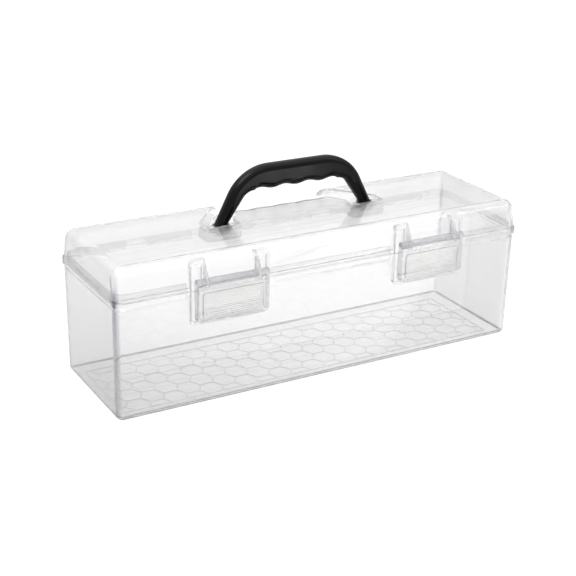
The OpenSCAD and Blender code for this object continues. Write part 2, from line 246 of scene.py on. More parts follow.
def tub_shell():
    rings = []
    edge = ROUND - 1
    for i in range(8):
        a = math.radians(90 * i / 7)
        s = edge * (1 - math.sin(a))
        rings.append(tub_ring(-s, ROUND - s, edge * (1 - math.cos(a))))
    low = RIM_Z - RIM_HIGH
    rings.append(tub_ring(0, ROUND, low - 0.5))
    for out, z in ((0.15, low - 0.15), (0.5, low), (RIM_OUT - 0.6, low), (RIM_OUT - 0.18, low + 0.18),
                   (RIM_OUT, low + 0.6), (RIM_OUT, RIM_Z - 0.6), (RIM_OUT - 0.18, RIM_Z - 0.18),
                   (RIM_OUT - 0.6, RIM_Z)):
        rings.append(rim_ring(out, ROUND + out, z))
    for out, z in ((LIP_OUT + 0.3, RIM_Z), (LIP_OUT + 0.09, RIM_Z + 0.09), (LIP_OUT, RIM_Z + 0.3),
                   (LIP_OUT, LIP_TOP - 0.4), (LIP_OUT - 0.12, LIP_TOP - 0.12), (LIP_OUT - 0.4, LIP_TOP),
                   (LIP_OUT - LIP_THICK + 0.4, LIP_TOP), (LIP_OUT - LIP_THICK + 0.12, LIP_TOP - 0.12),
                   (LIP_OUT - LIP_THICK, LIP_TOP - 0.4), (LIP_OUT - LIP_THICK, RIM_Z - 5.2)):
        rings.append(rim_ring(out, LIP_ROUND + out - LIP_OUT, z))
    rings.append(tub_ring(-WALL, ROUND - WALL, RIM_Z - 6.6))
    inner = ROUND - WALL
    edge = inner - 1
    for i in range(8):
        a = math.radians(90 - 90 * i / 7)
        s = edge * (1 - math.sin(a))
        rings.append(tub_ring(-WALL - s, inner - s, FLOOR_TOP + edge * (1 - math.cos(a))))
    return loft("tub_shell", rings)


def sleeve_start(i):
    return SLEEVE_SHIFT - (SLEEVE_COUNT - 1) / 2 * SLEEVE_PITCH - SLEEVE_LONG / 2 + i * SLEEVE_PITCH


def c_sleeve(x0, x1):
    """The section is a C that opens up and back; a web ties it to the rim band."""
    sleeve = rod(x0, x1, HINGE_Y, HINGE_Z, SLEEVE_R, 0.4)
    add(sleeve, block(x0 + 0.05, x1 - 0.05, WALL_Y + 0.3, HINGE_Y, RIM_Z - RIM_HIGH + 0.02, RIM_Z - 0.02))
    cut(sleeve, rod(x0 - 1, x1 + 1, HINGE_Y, HINGE_Z, HINGE_BAR_R + CLEARANCE))
    s, t = SLEEVE_MOUTH / 2 / math.sqrt(2), 6 / math.sqrt(2)
    mouth = [(HINGE_Y + s, HINGE_Z - s), (HINGE_Y + s + t, HINGE_Z - s + t),
             (HINGE_Y - s + t, HINGE_Z + s + t), (HINGE_Y - s, HINGE_Z + s)]
    cut(sleeve, prism_x(x0 - 1, x1 + 1, mouth))
    return sleeve


def cell_rings(cx, cy, levels):
    """Outlines of one hexagonal cell at each (height, growth) level, cut off at the field's edge."""
    half_x, half_y = FIELD_X / 2 - HEX_LINE, FIELD_Y / 2 - HEX_LINE
    rings = []
    for _, grow in levels:
        r = HEX_SIDE - HEX_LINE / math.sqrt(3) + grow
        cell = [(cx + r * math.cos(math.radians(60 * k)), cy + r * math.sin(math.radians(60 * k)))
                for k in range(6)]
        rings.append(clip_to(cell, half_x + grow, half_y + grow))
    return rings


def honeycomb():
    """The raised lines: a thin slab from which hexagonal cells are cut, with sloping sides."""
    slab = block(FIELD_CX - FIELD_X / 2, FIELD_CX + FIELD_X / 2, FIELD_CY - FIELD_Y / 2,
                 FIELD_CY + FIELD_Y / 2, FLOOR_TOP - 0.1, FLOOR_TOP + HEX_HIGH)
    levels = ((FLOOR_TOP - 0.5, -0.12), (FLOOR_TOP + 0.05, -0.12), (FLOOR_TOP + HEX_HIGH, 0.1),
              (FLOOR_TOP + 1.5, 0.1))
    points, faces = [], []
    for i in range(-HEX_COLUMNS, HEX_COLUMNS + 1):
        for j in range(-HEX_ROWS, HEX_ROWS + 1):
            shift = 0.5 if i % 2 else 0
            rings = cell_rings(i * HEX_COLUMN, (j + shift) * HEX_ROW + HEX_SHIFT, levels)
            if min(len(r) for r in rings) < 3 or len({len(r) for r in rings}) > 1:
                continue
            start, n = len(points), len(rings[0])
            for ring, (z, _) in zip(rings, levels):
                points += [(FIELD_CX + x, FIELD_CY + y, z) for x, y in ring]
            faces.append(tuple(start + k for k in reversed(range(n))))
            for level in range(len(levels) - 1):
                a = start + level * n
                faces += [(a + k, a + (k + 1) % n, a + n + (k + 1) % n, a + n + k) for k in range(n)]
            faces.append(tuple(start + (len(levels) - 1) * n + k for k in range(n)))
    cut(slab, mesh_object("cells", points, faces))
    return slab


def gate_mark(x, y, steps=16):
    """The small round mark that the moulding gate leaves in a cell of the floor pattern."""
    stations = ((1.1, FLOOR_TOP - 0.2), (1.1, FLOOR_TOP + 0.25), (0.85, FLOOR_TOP + HEX_HIGH))
    rings = [[(x + r * math.cos(math.tau * i / steps), y + r * math.sin(math.tau * i / steps), z)
              for i in range(steps)] for r, z in stations]
    return loft("gate", rings)


def clip_to(cell, half_x, half_y):
    """The part of a cell inside a rectangle."""
    for axis, limit in ((0, half_x), (1, half_y)):
        for side in (1, -1):
            kept = []
            for a, b in zip(cell, cell[1:] + cell[:1]):
                inside_a, inside_b = side * a[axis] <= limit, side * b[axis] <= limit
                if inside_a:
                    kept.append(a)
                if inside_a != inside_b:
                    t = (side * limit - a[axis]) / (b[axis] - a[axis])
                    kept.append((a[0] + t * (b[0] - a[0]), a[1] + t * (b[1] - a[1])))
            cell = kept
            if not cell:
                return []
    return cell


def tub_pad(x):
    """The raised pad under one latch."""
    return plate(x - PAD_HALF, x + PAD_HALF, PAD_LOW, RIM_Z, [SQUARE, SQUARE, PAD_ROUND, PAD_ROUND],
                 -PAD_INSIDE - 0.4, -PAD_Y, PAD_EDGE)


def lip_gap(x):
    """The stretch of the lip behind one pad, where it is left out."""
    return block(x - PAD_HALF - 1, x + PAD_HALF + 1, -PAD_INSIDE, -46, RIM_Z - 7.6, LIP_TOP + 1)


def pad_hollow(x):
    """The room inside one pad, open to the tub."""
    half = PAD_HALF - WALL
    return plate(x - half, x + half, PAD_LOW + WALL, RIM_Z + 1,
                 [SQUARE, SQUARE, PAD_ROUND - WALL, PAD_ROUND - WALL], -49, -PAD_Y + WALL, 0.6)


def snap_bead(x):
    """The bead that one latch's lip snaps over."""
    z = PLATE_LOW + 4.6
    section = [(-PAD_Y + 1, z - 0.6), (-PAD_Y + 1, z + 3), (-PAD_Y - 1.5, z + 1.4), (-PAD_Y - 1.5, z + 0.8)]
    return prism_x(x - BEAD_HALF, x + BEAD_HALF, section)


def build_tub(material, edge_shade_material):
    tub = tub_shell()
    for x in (-LATCH_X, LATCH_X):
        add(tub, tub_pad(x))
    for x in (-LATCH_X, LATCH_X):
        cut(tub, lip_gap(x), pad_hollow(x))
        add(tub, snap_bead(x))
    for i in range(SLEEVE_COUNT):
        add(tub, c_sleeve(sleeve_start(i), sleeve_start(i) + SLEEVE_LONG))
    add(tub, honeycomb())
    for side in (-1, 1):
        add(tub, gate_mark(FIELD_CX + side * GATE_COLUMN * HEX_COLUMN, FIELD_CY + GATE_Y))
    tub.name = "tub_clear"
    finish_mesh(tub, "tub", material)
    shade_narrow_sides(tub, edge_shade_material)
    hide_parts("tub")
    return tub


# ---- lid -------------------------------------------------------------------------------------------

def lid_rings(inset, start):
    """Loops up the lid's outer side (inset 0) or its inner one, from start to the flat top."""
    r, corner = LID_ROUND - inset, ROUND - inset
    rise_from, rise_to = LID_LOW + RIM_HIGH, LID_TOP - LID_ROUND
    rings = []
    for z in start:
        rings.append(flat_ring(WALL_X - inset, WALL_Y - inset, corner, z))
    for i in range(1, 9):
        t = i / 8
        lean = LID_LEAN * t
        rings.append(flat_ring(WALL_X - inset - lean, WALL_Y - inset - lean,
                               corner + (r - corner) * t, rise_from + (rise_to - rise_from) * t))
    for i in range(1, 13):
        a = math.radians(90 * i / 12)
        s = r * (1 - math.cos(a))
        rings.append(flat_ring(WALL_X - inset - LID_LEAN - s, WALL_Y - inset - LID_LEAN - s,
                               max(r - s, 0.3), rise_to + r * math.sin(a)))
    return rings


def lid_outer():
    rings = [rim_ring(out, ROUND + out, z) for out, z in
             ((RIM_OUT - 0.6, LID_LOW), (RIM_OUT - 0.18, LID_LOW + 0.18), (RIM_OUT, LID_LOW + 0.6),
              (RIM_OUT, LID_LOW + RIM_HIGH - 0.6), (RIM_OUT - 0.18, LID_LOW + RIM_HIGH - 0.18),
              (RIM_OUT - 0.6, LID_LOW + RIM_HIGH), (0.4, LID_LOW + RIM_HIGH),
              (0.12, LID_LOW + RIM_HIGH + 0.12))]
    return loft("lid_shell", rings + lid_rings(0, (LID_LOW + RIM_HIGH + 0.4,)))


def rounded_path(corners):
    """Points along a polygon of (x, y, radius) corners, each rounded by an arc."""
    found = []
    n = len(corners)
    for k in range(n):
        here = Vector(corners[k][:2])
        r = corners[k][2]
        before = (Vector(corners[k - 1][:2]) - here).normalized()
        after = (Vector(corners[(k + 1) % n][:2]) - here).normalized()
        if r <= 0:
            found.append(here)
            continue
        half = before.angle(after) / 2
        reach = r / math.tan(half)
        a, b = here + before * reach, here + after * reach
        centre = here + (before + after).normalized() * (r / math.sin(half))
        start = math.atan2(*(a - centre).yx)
        turn = (math.atan2(*(b - centre).yx) - start + math.pi) % math.tau - math.pi
        steps = 7
        for i in range(steps + 1):
            t = start + turn * i / steps
            found.append(centre + r * Vector((math.cos(t), math.sin(t))))
    return found


def grown(path, g):
    """The path moved outwards by g; the path turns left."""
    found = []
    n = len(path)
    for k in range(n):
        e0 = (path[k] - path[k - 1]).normalized()
        e1 = (path[(k + 1) % n] - path[k]).normalized()
        n0, n1 = Vector((e0.y, -e0.x)), Vector((e1.y, -e1.x))
        mid = (n0 + n1).normalized()
        found.append(path[k] + mid * (g / max(mid.dot(n1), 0.5)))
    return found


def recess_path():
    """The recess's plan: two foot pockets, a channel behind the wavy island, and slopes to the rear."""
    slope = (RECESS_HALF - SLOPE_X) / (SLOPE_Y - RECESS_SIDE)
    back_x = SLOPE_X - (RECESS_BACK - SLOPE_Y) * slope
    wave_half, wave_steps = 43.5, 88
    waves = []
    for i in range(1, wave_steps):
        x = wave_half * (1 - 2 * i / wave_steps)
        waves.append((-x, ISLAND_REAR + WAVE * math.cos(math.tau * x / WAVE_PITCH), 0))
    corner = (wave_half + 0.5, ISLAND_REAR + 0.4, 3.2)
    right = [corner, (ISLAND_HALF, ISLAND_SIDE, 3), (ISLAND_HALF, RECESS_FRONT, 2.2),
             (RECESS_HALF, RECESS_FRONT, 3), (RECESS_HALF, RECESS_SIDE, 8), (back_x, RECESS_BACK, 0)]
    left = [(-x, y, r) for x, y, r in reversed(right)]
    return rounded_path(left[2:] + waves + right + left[:2])


def recess_block(path, stations):
    """A block over the recess's plan: stations are (height, growth)."""
    return loft("recess", [[(p.x, p.y, z) for p in grown(path, g)] for z, g in stations])


def mirrored(x0, x1, side):
    """The span from x0 to x1 on the right side, or its mirror image on the left."""
    return (x0, x1) if side > 0 else (-x1, -x0)


def boss(side, inner):
    """One of the two blocks beside a handle foot, with the blind bore for the foot's stub."""
    x0 = ISLAND_HALF - 0.9 if inner else FOOT_OUTER + 0.5
    x1 = FOOT_INNER - 0.5 if inner else RECESS_HALF + 0.9
    steps = 16
    points = [(PIVOT_Y + BOSS_R * math.cos(math.pi * i / steps),
               PIVOT_Z + BOSS_R * math.sin(math.pi * i / steps)) for i in range(steps + 1)]
    points += [(PIVOT_Y - BOSS_R, RECESS_FLOOR - 0.9), (PIVOT_Y + BOSS_R, RECESS_FLOOR - 0.9)]
    piece = prism_x(*mirrored(x0, x1, side), points)
    deep = STUB_LONG + 0.5
    bore = (FOOT_INNER - deep, FOOT_INNER) if inner else (FOOT_OUTER - 0.5, FOOT_OUTER + deep)
    cut(piece, rod(*mirrored(*bore, side), PIVOT_Y, PIVOT_Z, STUB_R + CLEARANCE, 0.01))
    return piece


def lid_pad(x, side):
    """The pad beside one cheek."""
    x0, x1 = (x + CHEEK_HALF, x + PAD_HALF) if side > 0 else (x - PAD_HALF, x - CHEEK_HALF)
    radii = [PAD_ROUND, SQUARE, SQUARE, SQUARE] if side > 0 else [SQUARE, PAD_ROUND, SQUARE, SQUARE]
    return plate(x0, x1, LID_LOW, PAD_HIGH, radii, -45, -PAD_Y, PAD_EDGE)


def pad_pocket(x, side):
    """The room inside one of the lid's pads, outside its cheek."""
    near, far = CHEEK_HALF + CHEEK_THICK, PAD_HALF - WALL
    x0, x1 = (x + near, x + far) if side > 0 else (x - far, x - near)
    return block(x0, x1, -PAD_Y + WALL, -50.5, LID_LOW - 1, PAD_HIGH - 5)


def cheek(x, side):
    """The wall that carries one end of a latch's bar."""
    points = [(-PAD_Y + 1, BAR_Z - CLIP_R), (-PAD_Y + 1, PAD_HIGH - 2.5), (-PAD_Y - 0.2, PAD_HIGH - 2.8)]
    turn = 10
    for i in range(turn + 1):
        a = math.radians(165 + 105 * i / turn)
        points.append((BAR_Y + CLIP_R * math.cos(a), BAR_Z + CLIP_R * math.sin(a)))
    low = x + CHEEK_HALF if side > 0 else x - CHEEK_HALF - CHEEK_THICK
    return prism_x(low, low + CHEEK_THICK, points)


def lid_inside(path):
    """The room inside the lid, without the walls of the recess."""
    low = RECESS_FLOOR - WALL
    inside = loft("inside", lid_rings(WALL, (LID_LOW - 1, LID_LOW + RIM_HIGH)))
    cut(inside, recess_block(path, ((low, WALL * 0.45), (low + 0.3, WALL * 0.8), (low + 1, WALL),
                                    (LID_TOP + 1, WALL))))
    return inside


def recess(path):
    """The recess itself, with a rounded floor edge and a rounded upper edge."""
    return recess_block(path, ((RECESS_FLOOR, -1.2), (RECESS_FLOOR + 0.35, -0.35), (RECESS_FLOOR + 1.2, 0),
                               (LID_TOP - 0.7, 0), (LID_TOP - 0.2, 0.2), (LID_TOP + 0.01, 0.7),
                               (LID_TOP + 2, 0.7)))


def hinge_bar():
    """The bar behind the lid, with a lug between each two sleeves and at both ends."""
    gap, end = 0.5, 8.0
    first = sleeve_start(0) - gap
    last = sleeve_start(SLEEVE_COUNT - 1) + SLEEVE_LONG + gap
    spans = [(first - end, first), (last, last + end)]
    spans += [(sleeve_start(i) + SLEEVE_LONG + gap, sleeve_start(i + 1) - gap)
              for i in range(SLEEVE_COUNT - 1)]
    bar = rod(first - end + 0.5, last + end - 0.5, HINGE_Y, HINGE_Z, HINGE_BAR_R, 0.2)
    for x0, x1 in spans:
        add(bar, rod(x0, x1, HINGE_Y, HINGE_Z, SLEEVE_R - 0.3, 0.3))
        add(bar, block(x0 + 0.05, x1 - 0.05, WALL_Y + 0.3, HINGE_Y,
                       LID_LOW + 0.02, LID_LOW + RIM_HIGH - 0.02))
    return bar


def build_lid(material, edge_shade_material):
    path = recess_path()
    lid = lid_outer()
    for x in (-LATCH_X, LATCH_X):
        add(lid, lid_pad(x, -1), lid_pad(x, 1))
    cut(lid, lid_inside(path))
    cut(lid, recess(path))
    for side in (-1, 1):
        x = side * LATCH_X
        for hand in (-1, 1):
            cut(lid, pad_pocket(x, hand))
            add(lid, cheek(x, hand))
        add(lid, rod(x - CHEEK_HALF - 1, x + CHEEK_HALF + 1, BAR_Y, BAR_Z, BAR_R, 0.02))
        add(lid, boss(side, False), boss(side, True))
    add(lid, hinge_bar())
    lid.name = "lid_clear"
    finish_mesh(lid, "lid", material)
    shade_narrow_sides(lid, edge_shade_material)
    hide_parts("lid")
    return lid


# ---- handle ----------------------------------------------------------------------------------------

def shoulder(x, z, angle, r, top, bend):
    """Points up one side: an upright foot, a leg that leans by angle and a round shoulder."""
    a0 = math.radians(angle)
    cz = top - r
    leg_z = cz + r * math.sin(a0)
    leg_x = x - (leg_z - bend) * math.tan(a0)
    cx = leg_x - r * math.cos(a0)
    ease = 1.6
    start_z = bend + ease
    found = [(x, z), (x, bend - 1.5), (x - 0.15, bend + 0.6), (x - ease * math.tan(a0), start_z)]
    leg = 6
    for i in range(1, leg):
        t = i / leg
        found.append((x - (ease + (leg_z - start_z) * t) * math.tan(a0), start_z + (leg_z - start_z) * t))
    steps = 20
    for i in range(steps + 1):
        a = a0 + (math.pi / 2 - a0) * i / steps
        found.append((cx + r * math.cos(a), cz + r * math.sin(a)))
    return found


def handle_ring(inset, y):
    """The handle's outline in one plane across its thickness, drawn in by inset on all sides."""
    grip_low = GRIP_TOP - GRIP_DEPTH + inset
    outer = shoulder(FOOT_OUTER - inset, PIVOT_Z, OUTER_ANGLE, OUTER_ROUND - inset, GRIP_TOP - inset,
                     PIVOT_Z + OUTER_BEND)
    inner = shoulder(FOOT_INNER + inset, PIVOT_Z, INNER_ANGLE, INNER_ROUND + inset, grip_low,
                     PIVOT_Z + INNER_BEND)
    half = inner[-1][0]
    steps = 72
    wave = []
    for i in range(1, steps):
        x = half * (2 * i / steps - 1)
        wave.append((x, grip_low + WAVE * (1 - math.cos(math.tau * x / WAVE_PITCH))))
    left = [(-x, z) for x, z in outer]
    path = outer + left[::-1] + [(-x, z) for x, z in inner] + wave + inner[::-1]
    return [(x, y, z) for x, z in path]


def handle_bow():
    """The grip and both legs; the section is crowned, flat at the sides and full in the middle."""
    stations = []
    for i in range(CROWN_STEPS + 1):
        a = math.radians(90 * i / CROWN_STEPS)
        stations.append((HANDLE_HALF - CROWN_HIGH * (1 - math.sin(a)), CROWN_REACH * (1 - math.cos(a))))
    rings = [handle_ring(inset, PIVOT_Y + y) for y, inset in reversed(stations)]
    rings += [handle_ring(inset, PIVOT_Y - y) for y, inset in stations]
    return loft("handle_black", rings)


def build_handle(material):
    handle = handle_bow()
    for side in (-1, 1):
        lo, hi = mirrored(FOOT_INNER, FOOT_OUTER, side)
        add(handle, rod(lo + 0.02, hi - 0.02, PIVOT_Y, PIVOT_Z, HANDLE_HALF, 1.2))
        add(handle, rod(lo - STUB_LONG, hi + STUB_LONG, PIVOT_Y, PIVOT_Z, STUB_R, 0.4))
    finish_mesh(handle, "handle", material, 40)
    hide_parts("handle")
    return handle


# ---- latches ---------------------------------------------------------------------------------------

def latch_plate(x):
    """The tray-shaped plate, hollow behind and open at the top."""
    half = PLATE_HALF - WALL
    found = plate(x - PLATE_HALF, x + PLATE_HALF, PLATE_LOW, PLATE_HIGH,
                  [SQUARE, SQUARE, PAD_ROUND, PAD_ROUND], PLATE_BACK, PLATE_FRONT, PAD_EDGE)
    cut(found, plate(x - half, x + half, PLATE_LOW + WALL, PLATE_HIGH + 2,
                     [SQUARE, SQUARE, PAD_ROUND - WALL, PAD_ROUND - WALL],
                     PLATE_BACK + 3, PLATE_FRONT + WALL, 0.7))
    return found


def shape_clip(latch, x):
    """The clip around the bar, open at the back and with room for both cheeks."""
    add(latch, rod(x - PLATE_HALF, x + PLATE_HALF, BAR_Y, BAR_Z, CLIP_R, 0.6))
    cut(latch, rod(x - CLIP_HALF, x + CLIP_HALF, BAR_Y, BAR_Z, BAR_R + CLEARANCE, 0.01))
    cut(latch, block(x - CLIP_HALF, x + CLIP_HALF, BAR_Y, BAR_Y + 6,
                     BAR_Z - CLIP_MOUTH / 2, BAR_Z + CLIP_MOUTH / 2))
    for side in (-1, 1):
        lo, hi = mirrored(CHEEK_HALF - 0.5, CLIP_HALF, side)
        cut(latch, block(x + lo, x + hi, BAR_Y - 6, BAR_Y + 6, BAR_Z - 3.8, BAR_Z + 3.8))


def panel(x, grow, r, back, front, edge):
    """A plate over the thumb panel and its frame, wider by grow on all sides."""
    return plate(x - PANEL_HALF - grow, x + PANEL_HALF + grow, PANEL_LOW - grow, PANEL_HIGH + grow,
                 [r] * 4, back, front, edge)


def panel_groove(x):
    """The groove that runs round the raised frame."""
    found = panel(x, GROOVE_WIDE, GROOVE_ROUND, PLATE_FRONT + GROOVE_DEEP, PLATE_FRONT - 2, 0.2)
    cut(found, panel(x, 0, PANEL_ROUND, PLATE_FRONT + 1, PLATE_FRONT - 3, 0.2))
    return found


def panel_frame(x):
    """The raised frame around the thumb panel."""
    found = panel(x, 0, PANEL_ROUND, PLATE_FRONT + 0.3, PLATE_FRONT - FRAME_OUT, 0.5)
    cut(found, panel(x, -FRAME_WALL, PANEL_ROUND - FRAME_WALL, PLATE_FRONT + 1, PLATE_FRONT - 2, 0.2))
    return found


def panel_rib(x, z):
    """One of the fine ribs across the thumb panel, with its lower edge at z."""
    half = PANEL_HALF - FRAME_WALL + 0.1
    section = [(PLATE_FRONT + 0.2, z), (PLATE_FRONT + 0.2, z + 0.9), (PLATE_FRONT - 0.25, z + 0.75),
               (PLATE_FRONT - RIB_OUT, z + 0.45), (PLATE_FRONT - 0.25, z + 0.15)]
    return prism_x(x - half, x + half, section)


def index_latch(latch, x):
    """Gives the ribs material 1, the frame's sides 3, and the frame, clip and plate edges 2; 2 and 3 carry
    a painted shade.
    """
    for face in latch.data.polygons:
        across, up = abs(face.center.x / MM - x), face.center.z / MM
        slant = abs(face.normal.y)
        in_frame = across < PANEL_HALF + 0.1 and PANEL_LOW - 0.1 < up < PANEL_HIGH + 0.1
        inner = FRAME_WALL + 0.1
        in_panel = across < PANEL_HALF - inner and PANEL_LOW + inner < up < PANEL_HIGH - inner
        raised = face.center.y / MM < PLATE_FRONT + 0.05 and in_frame
        if raised and in_panel:
            face.material_index = 1
        elif raised and slant < 0.95:
            face.material_index = 3
        elif raised or up > BAR_Z - CLIP_R or slant < 0.6:
            face.material_index = 2


def build_latch(name, x, materials):
    latch = latch_plate(x)
    shape_clip(latch, x)
    cut(latch, panel_groove(x))
    add(latch, panel_frame(x))
    z = PANEL_LOW + RIB_MARGIN
    while z < PANEL_HIGH - RIB_MARGIN:
        add(latch, panel_rib(x, z))
        z += RIB_PITCH
    latch.name = name + "_clear"
    finish_mesh(latch, name, materials[0])
    for extra in materials[1:]:
        latch.data.materials.append(extra)
    index_latch(latch, x)
    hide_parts(name)
    return latch


# ---- camera and studio -------------------------------------------------------------------------------

CAMERA_PLACE = Vector((-0.50206, -0.85435, 0.46181))
CAMERA_AZIMUTH = math.radians(30.03)
CAMERA_ELEVATION = math.radians(22.24)
CAMERA_ROLL = math.radians(1.27)
CAMERA_LENS = 80.4

# Backdrop: heights on the unit sphere, and tones for all rays but the camera's
HORIZON_END, OVERHEAD_START = 0.4, 0.95
HORIZON_GREY = (0.85, 0.85, 0.86)
OVERHEAD_WHITE = (2.2, 2.2, 2.2)

# Table: its dim part fades out between FLAG_EDGE and FLAG_END, in metres along FLAG_AWAY
FLOOR_SIZE, FLOOR_DROP = 6, 0.0002
FLAG_AWAY = (0.86, 0.5, 0)
FLAG_EDGE, FLAG_END = -0.3, 0.1
FLAG_TONE, TABLE_TONE, OPEN_TONE = 0.6, 1.0, 0.98

# Lights: name, place and target in metres, width, height, power in watts
SOFTBOXES = (
    ("key", (-0.5, -0.2, 1.1), (0, 0, 0.1), 0.6, 0.6, 7),
    ("fill", (0.9, -0.6, 0.9), (0, 0, 0.1), 0.3, 0.8, 1.5),
    ("sheen", (0.185, -0.41, 0.03), (-0.03, 0, 0.155), 0.14, 0.05, 0.13),
)


def make_camera():
    data = bpy.data.cameras.new("camera")
    data.sensor_width = 36
    data.lens = CAMERA_LENS
    camera = bpy.data.objects.new("camera", data)
    bpy.context.scene.collection.objects.link(camera)
    flat = math.cos(CAMERA_ELEVATION)
    ahead = Vector((math.sin(CAMERA_AZIMUTH) * flat, math.cos(CAMERA_AZIMUTH) * flat,
                    -math.sin(CAMERA_ELEVATION)))
    level = Vector((math.cos(CAMERA_AZIMUTH), -math.sin(CAMERA_AZIMUTH), 0))
    upright = level.cross(ahead)
    right = level * math.cos(CAMERA_ROLL) + upright * math.sin(CAMERA_ROLL)
    up = right.cross(ahead)
    turn = Matrix((right, up, -ahead)).transposed()
    camera.matrix_world = Matrix.Translation(CAMERA_PLACE) @ turn.to_4x4()
    bpy.context.scene.camera = camera


def make_world():
    """White to the camera. All other rays see it bright overhead and greyer near the horizon."""
    world = bpy.data.worlds.new("studio")
    bpy.context.scene.world = world
    world.use_nodes = True
    nodes, links = world.node_tree.nodes, world.node_tree.links
    place = nodes.new("ShaderNodeTexCoord")
    split = nodes.new("ShaderNodeSeparateXYZ")
    ramp = nodes.new("ShaderNodeValToRGB")
    ramp.color_ramp.interpolation = "EASE"
    low, high = ramp.color_ramp.elements
    low.position, low.color = HORIZON_END, (*HORIZON_GREY, 1)
    high.position, high.color = OVERHEAD_START, (*OVERHEAD_WHITE, 1)
    rays = nodes.new("ShaderNodeLightPath")
    backdrop = nodes.new("ShaderNodeMix")
    backdrop.data_type = "RGBA"
    backdrop.inputs["B"].default_value = (1, 1, 1, 1)
    links.new(place.outputs["Generated"], split.inputs[0])
    links.new(split.outputs["Z"], ramp.inputs[0])
    links.new(ramp.outputs[0], backdrop.inputs["A"])
    links.new(rays.outputs["Is Camera Ray"], backdrop.inputs["Factor"])
    links.new(backdrop.outputs["Result"], nodes["Background"].inputs["Color"])


def softbox(name, place, target, width, height, power):
    data = bpy.data.lights.new(name, "AREA")
    data.shape = "RECTANGLE"
    data.size, data.size_y = width, height
    data.energy = power
    light = bpy.data.objects.new(name, data)
    bpy.context.scene.collection.objects.link(light)
    light.location = place
    light.visible_camera = False
    light.rotation_euler = (Vector(target) - Vector(place)).to_track_quat("-Z", "Y").to_euler()


def new_material(name):
    """A material, its nodes and links, its Principled shader and its texture coordinates."""
    m = bpy.data.materials.new(name)
    m.use_nodes = True
    nodes, links = m.node_tree.nodes, m.node_tree.links
    return m, nodes, links, nodes["Principled BSDF"], nodes.new("ShaderNodeTexCoord")


def make_floor():
    """A self-lit white table, one even tone to the camera.

    All other rays see it dimmer towards the left, as if a grey flag stood there."""
    bpy.ops.mesh.primitive_plane_add(size=FLOOR_SIZE, location=(0, 0, -FLOOR_DROP))
    floor = bpy.context.object
    floor.name = "floor"
    m, nodes, links, p, place = new_material("floor")
    p.inputs["Base Color"].default_value = (0.1, 0.1, 0.1, 1)
    p.inputs["Roughness"].default_value = 0.9
    p.inputs["Specular IOR Level"].default_value = 0
    p.inputs["Emission Color"].default_value = (1, 1, 1, 1)
    along = nodes.new("ShaderNodeVectorMath")
    along.operation = "DOT_PRODUCT"
    along.inputs[1].default_value = FLAG_AWAY
    links.new(place.outputs["Object"], along.inputs[0])
    fade = nodes.new("ShaderNodeMapRange")
    fade.interpolation_type = "SMOOTHSTEP"
    fade.inputs["From Min"].default_value = FLAG_EDGE
    fade.inputs["From Max"].default_value = FLAG_END
    fade.inputs["To Min"].default_value = FLAG_TONE
    fade.inputs["To Max"].default_value = TABLE_TONE
    links.new(along.outputs["Value"], fade.inputs["Value"])
    rays = nodes.new("ShaderNodeLightPath")
    seen = nodes.new("ShaderNodeMix")
    seen.inputs["B"].default_value = OPEN_TONE
    links.new(fade.outputs[0], seen.inputs["A"])
    links.new(rays.outputs["Is Camera Ray"], seen.inputs["Factor"])
    links.new(seen.outputs["Result"], p.inputs["Emission Strength"])
    floor.data.materials.append(m)


def make_studio():
    bpy.context.scene.view_settings.view_transform = "Standard"
    make_world()
    make_floor()
    for light in SOFTBOXES:
        softbox(*light)


# ---- materials ---------------------------------------------------------------------------------------

NOISE_LOW, NOISE_HIGH = 0.3, 0.7     # most of a noise's values lie between these
CLOUD_SCALE, SCUFF_SCALE, FLOW_SCALE = 14, 90, 24
RUB_SCALE, GRAIN_SCALE = 40, 900
# Painted shade on the two end walls, for the darker room they reflect
END_PAINTED_SHADE = (0.87, 0.87, 0.873)
# Painted shade on the floor pattern's raised lines
RIDGE_PAINTED_SHADE = (0.72, 0.72, 0.71)
# Painted shade: a dark diffuse colour and its largest share, on the silhouettes and the low edge
CORNER_SHADE = (0.12, 0.12, 0.16, 1)
SHADE_SHARE = 0.8

# Depths below the walls' outer faces, in millimetres, at which a painted shade starts and is full
CORNER_FADE = (5.0, 1.5)
SILHOUETTE_FADE_X, SILHOUETTE_FADE_Y = (2.2, 0.6), (5.0, 2.0)
END_FADE = (4.0, 3.0)
LOW_EDGE_FADE, LOW_EDGE_HIGH = (4.0, 1.0), 2.2


def noise(nodes, links, place, scale, detail=3.0):
    found = nodes.new("ShaderNodeTexNoise")
    found.inputs["Scale"].default_value = scale
    found.inputs["Detail"].default_value = detail
    links.new(place.outputs["Object"], found.inputs["Vector"])
    return found.outputs[0]


def spread(nodes, links, value, low, high):
    """Maps the middle part of a noise's values onto low to high."""
    found = nodes.new("ShaderNodeMapRange")
    found.inputs["From Min"].default_value = NOISE_LOW
    found.inputs["From Max"].default_value = NOISE_HIGH
    found.inputs["To Min"].default_value = low
    found.inputs["To Max"].default_value = high
    links.new(value, found.inputs["Value"])
    return found.outputs[0]


def blend(nodes, links, value, first, second):
    """A colour between the constants first and second."""
    found = nodes.new("ShaderNodeMix")
    found.data_type = "RGBA"
    found.inputs["A"].default_value = (*first, 1)
    found.inputs["B"].default_value = (*second, 1)
    links.new(value, found.inputs["Factor"])
    return found.outputs["Result"]


def bump(nodes, links, value, strength, height):
    found = nodes.new("ShaderNodeBump")
    found.inputs["Strength"].default_value = strength
    found.inputs["Distance"].default_value = height
    links.new(value, found.inputs["Height"])
    return found.outputs["Normal"]


def arithmetic(nodes, links, operation, first, second):
    """One step of arithmetic between a socket and a second socket or number."""
    found = nodes.new("ShaderNodeMath")
    found.operation = operation
    links.new(first, found.inputs[0])
    if isinstance(second, float):
        found.inputs[1].default_value = second
    else:
        links.new(second, found.inputs[1])
    return found.outputs[0]


